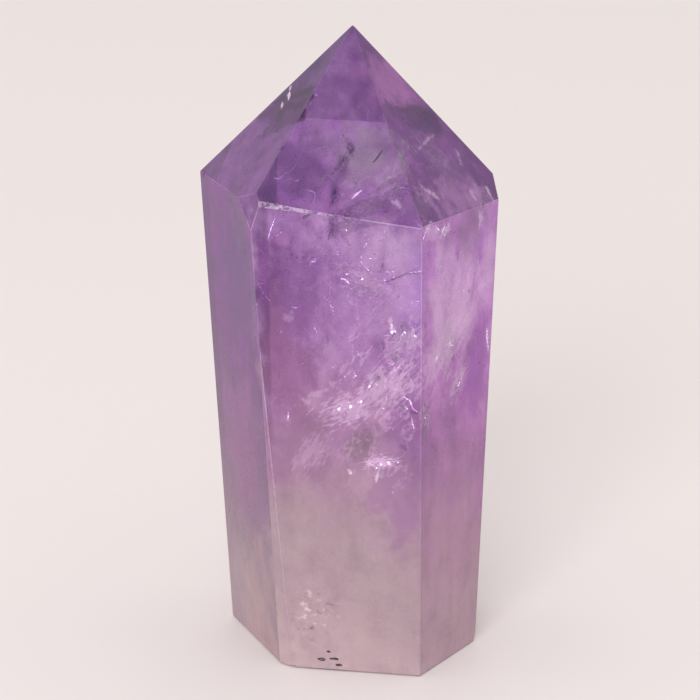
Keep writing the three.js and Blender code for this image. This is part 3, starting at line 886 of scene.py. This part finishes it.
def scatter(r):
    """A random vector, each part of it spread about 0."""
    return Vector((r.gauss(0, 1), r.gauss(0, 1), r.gauss(0, 1)))


def facing_axes(r, out, tip):
    """Two axes of a plane that faces out, give or take."""
    out = (out + tip * scatter(r)).normalized()
    first = out.orthogonal().normalized()
    return first, out.cross(first)


class Flakes:
    """Thin flakes gathered into one mesh."""

    def __init__(self, seed):
        self.points = []
        self.faces = []
        self.random = random.Random(seed)

    def add(self, middle, axis_a, axis_b, size, stretch=1.0):
        """A flake of three to five uneven corners in the plane of the two axes."""
        count = self.random.choice(FLAKE_CORNERS)
        turn = self.random.uniform(0, math.tau)
        start = len(self.points)
        for i in range(count):
            angle = turn + math.tau * (i + self.random.uniform(-CORNER_SHIFT, CORNER_SHIFT)) / count
            reach = size * self.random.uniform(*CORNER_REACH)
            offset = axis_a * (math.cos(angle) * reach * stretch) + axis_b * (math.sin(angle) * reach)
            self.points.append(tuple((middle + offset) * MM))
        self.faces.append(tuple(range(start, start + count)))

    def size(self, usual, spread):
        """A size that varies about the usual one."""
        return usual * math.exp(self.random.gauss(0, spread))

    def loose_axes(self):
        """Two axes at right angles, turned any way."""
        first = scatter(self.random).normalized()
        second = first.orthogonal().normalized()
        return second, first.cross(second)

    def piece(self, name, material):
        mesh = bpy.data.meshes.new(name)
        mesh.from_pydata(self.points, [], self.faces)
        mesh.materials.append(material)
        thing = bpy.data.objects.new(name, mesh)
        bpy.context.collection.objects.link(thing)
        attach(thing, "root")


def veil_axes(at, tilt, lean, turn):
    """A veil's length, width and outward axes: it faces so that it shines, but for its own turns."""
    out = mirror_axis(*at[:2])
    level = Vector((0, 0, 1)).cross(out).normalized()
    turned = (
        Matrix.Rotation(math.radians(tilt), 3, "Z")
        @ Matrix.Rotation(math.radians(lean), 3, level)
        @ Matrix.Rotation(math.radians(turn), 3, out)
    )
    return turned @ level, turned @ out.cross(level), turned @ out


def veil_cover(u, v, across, up, patch, number):
    """How far a veil covers this place: its patches, fading towards its rim."""
    spot = Vector((VEIL_PATCH_STRETCH * across / patch, up / patch, number * PATCH_NOISE_STEP))
    patches = noise.turbulence(spot, VEIL_PATCH_DETAIL, True, amplitude_scale=VEIL_PATCH_FADING)
    return 0.5 + 0.5 * patches - VEIL_BARE_RIM * (u * u + v * v)


def veil(flakes, hull, number, at, size, tilt, lean, turn, bow, count, flake, patch, bare, loose):
    """A healed fracture: slivers on a bowed sheet, in patches, with ragged bare places between."""
    middle = inside(*at)
    axis_a, axis_b, out = veil_axes(at, tilt, lean, turn)
    r = flakes.random
    made = 0
    for _ in range(count * VEIL_TRIES):
        if made == count:
            break
        u, v = r.uniform(-1, 1), r.uniform(-1, 1)
        across, up = u * size[0] / 2, v * size[1] / 2
        if veil_cover(u, v, across, up, patch, number) < bare + VEIL_RAGGED * r.random():
            continue
        wave = noise.noise(Vector((across / VEIL_WAVE, up / VEIL_WAVE, number * BOW_NOISE_STEP)))
        rise = bow * wave + VEIL_THICKNESS * r.gauss(0, 1)
        point = middle + axis_a * across + axis_b * up + out * rise
        if not hull.holds(point):
            continue
        swing = r.gauss(0, VEIL_SWING)
        along = axis_a * math.cos(swing) + axis_b * math.sin(swing) + out * r.gauss(0, loose)
        beside = axis_b * math.cos(swing) - axis_a * math.sin(swing) + out * r.gauss(0, loose)
        sliver = flakes.size(flake, VEIL_SIZE_SPREAD)
        flakes.add(point, along.normalized(), beside.normalized(), sliver, SLIVER_STRETCH)
        made += 1


def between_knots(a, b, c, d, t):
    """The point at share t of the way from b to c, on a smooth curve that also heeds a and d."""
    return 0.5 * (
        2 * b + (c - a) * t + (2 * a - 5 * b + 4 * c - d) * t * t + (3 * b - a - 3 * c + d) * t ** 3
    )


def smooth_path(places, deep):
    """Points along a smooth curve through the places, each this deep."""
    knots = [inside(across, up, deep) for across, up in places]
    knots = [2 * knots[0] - knots[1], *knots, 2 * knots[-1] - knots[-2]]
    path = []
    for stretch in zip(knots, knots[1:], knots[2:], knots[3:]):
        path.extend(between_knots(*stretch, i / CURVE_STEPS) for i in range(CURVE_STEPS))
    path.append(knots[-2])
    return path


def streak(flakes, places, deep, width):
    """A bright streak: thin plates along a curve, each turned to throw the window's light out. It
    tapers to both ends."""
    path = smooth_path(places, deep)
    out = mirror_axis(*places[len(places) // 2])
    r = flakes.random
    for i, (point, after) in enumerate(zip(path, path[1:])):
        step = after - point
        along = (step - out * step.dot(out)).normalized()
        swell = math.sin(math.pi * (i + 0.5) / (len(path) - 1))
        half = width / 2 * (STREAK_END + (1 - STREAK_END) * swell) * r.uniform(*STREAK_UNEVEN)
        tipped = (along + out * r.gauss(0, STREAK_TIP)).normalized()
        flakes.add(point, tipped, out.cross(along), half, max(1.0, STREAK_OVERLAP * step.length / half))


def wisp(flakes, hull, places, deep, spread, count):
    """A dark wisp: slivers laid along a curve, thinning out from it."""
    path = smooth_path(places, deep)
    r = flakes.random
    for _ in range(count):
        i = r.randrange(len(path) - 1)
        along = (path[i + 1] - path[i]).normalized()
        beside = along.cross(SIGHT).normalized()
        aside = beside * r.gauss(0, spread / 2)
        ahead = along * r.gauss(0, spread / 2)
        point = path[i] + aside + ahead + SIGHT * r.gauss(0, spread)
        along = (along + beside * r.gauss(0, WISP_SWING)).normalized()
        if hull.holds(point, WISP_MARGIN):
            sliver = flakes.size(WISP_SLIVER, WISP_SIZE_SPREAD)
            flakes.add(point, along, beside, sliver, WISP_STRETCH)


def mist(flakes, hull, count, flake, chance):
    """Fine flakes through the body, kept by chance according to their place."""
    r = flakes.random
    made = 0
    while made < count:
        across = r.uniform(-MIST_HALF_WIDTH, MIST_HALF_WIDTH)
        back = r.uniform(-MIST_HALF_DEPTH, MIST_HALF_DEPTH)
        point = Vector((across, back, r.uniform(*MIST_HEIGHTS)))
        if r.random() < chance(point) and hull.holds(point):
            axes = flakes.loose_axes()
            flakes.add(point, *axes, flakes.size(flake, MIST_SIZE_SPREAD))
            made += 1


def body_chance(point):
    cloud = noise.fractal(point / BODY_MIST_CLOUD, *BODY_MIST_DETAIL)
    return min(1.0, max(BODY_MIST_LEAST, BODY_MIST_SHARE + BODY_MIST_CONTRAST * cloud))


def foot_chance(point):
    wander = FOOT_MIST_WANDER * noise.noise(point / FOOT_MIST_CLOUD)
    level = point.z + TILT_OF_ZONES * point.x + wander
    return min(1.0, max(0.0, 1 - level / FOOT_MIST_TOP))


def hairline(flakes, hull):
    """A short bowed stroke of fine slivers, anywhere in the upper body."""
    r = flakes.random
    point = Vector([r.uniform(*side) for side in HAIRLINE_BOX])
    out = mirror_axis(0, HAIRLINE_FOOT)
    level = out.orthogonal()
    along = (level * r.gauss(0, 1) + out.cross(level) * r.gauss(0, 1)).normalized()
    bend = out.cross(along) * r.gauss(0, HAIRLINE_BEND)
    steps = int(r.uniform(*HAIRLINE_LENGTH) / HAIRLINE_STEP)
    for _ in range(steps):
        if hull.holds(point):
            tipped = (along + out * r.gauss(0, HAIRLINE_TIP)).normalized()
            width = HAIRLINE_WIDTH * r.uniform(*HAIRLINE_UNEVEN)
            flakes.add(point, tipped, out.cross(along), width, HAIRLINE_STRETCH)
        along = (along + bend).normalized()
        point = point + along * HAIRLINE_STEP


def glint_cluster(flakes, across, up):
    """A few larger flakes close together, which throw the window's light out."""
    r = flakes.random
    for _ in range(CLUSTER_FLAKES):
        middle = inside(across, up, CLUSTER_DEPTH) + CLUSTER_SPREAD * scatter(r)
        axes = facing_axes(r, mirror_axis(across, up), CLUSTER_TIP)
        flakes.add(middle, *axes, LARGE_GLINT * r.uniform(*CLUSTER_SIZES))


def make_veils(hull, finish):
    for number, (name, sheet) in enumerate(VEILS.items()):
        flakes = Flakes(seed=10 + number)
        veil(flakes, hull, number, **sheet)
        flakes.piece(name, finish)


def make_streaks(hull, finish):
    flakes = Flakes(seed=40)
    for places, deep, width in STREAKS.values():
        streak(flakes, places, deep, width)
    for _ in range(HAIRLINES):
        hairline(flakes, hull)
    flakes.piece("streaks", finish)


def make_wisps(hull, finish):
    flakes = Flakes(seed=50)
    for places, deep, spread, count in WISPS.values():
        wisp(flakes, hull, places, deep, spread, count)
    flakes.piece("dark_wisps", finish)


def make_mist(hull, finish):
    body = Flakes(seed=60)
    mist(body, hull, MIST_FLAKES, MIST_FLAKE, body_chance)
    body.piece("mist_in_body", finish)
    foot = Flakes(seed=61)
    mist(foot, hull, FOOT_MIST_FLAKES, FOOT_MIST_FLAKE, foot_chance)
    foot.piece("mist_in_foot", finish)


def make_glints(hull, finish):
    flakes = Flakes(seed=70)
    mist(flakes, hull, GLINT_FLAKES, GLINT_FLAKE, body_chance)
    for across, up in LARGE_GLINTS:
        glint_cluster(flakes, across, up)
    flakes.piece("glints", finish)


def make_inclusions():
    hull = Hull()
    finishes = {name: flake_material(name) for name in FINISHES}
    make_veils(hull, finishes["healed_fracture"])
    make_streaks(hull, finishes["bright_fracture"])
    make_wisps(hull, finishes["dark_mineral_and_shade"])
    make_mist(hull, finishes["mist"])
    make_glints(hull, finishes["bright_fracture"])


bpy.context.scene.view_settings.view_transform = "Standard"
make_camera()
make_floor()
make_light()
crystal.data.materials.clear()
crystal.data.materials.append(crystal_material())
make_inclusions()
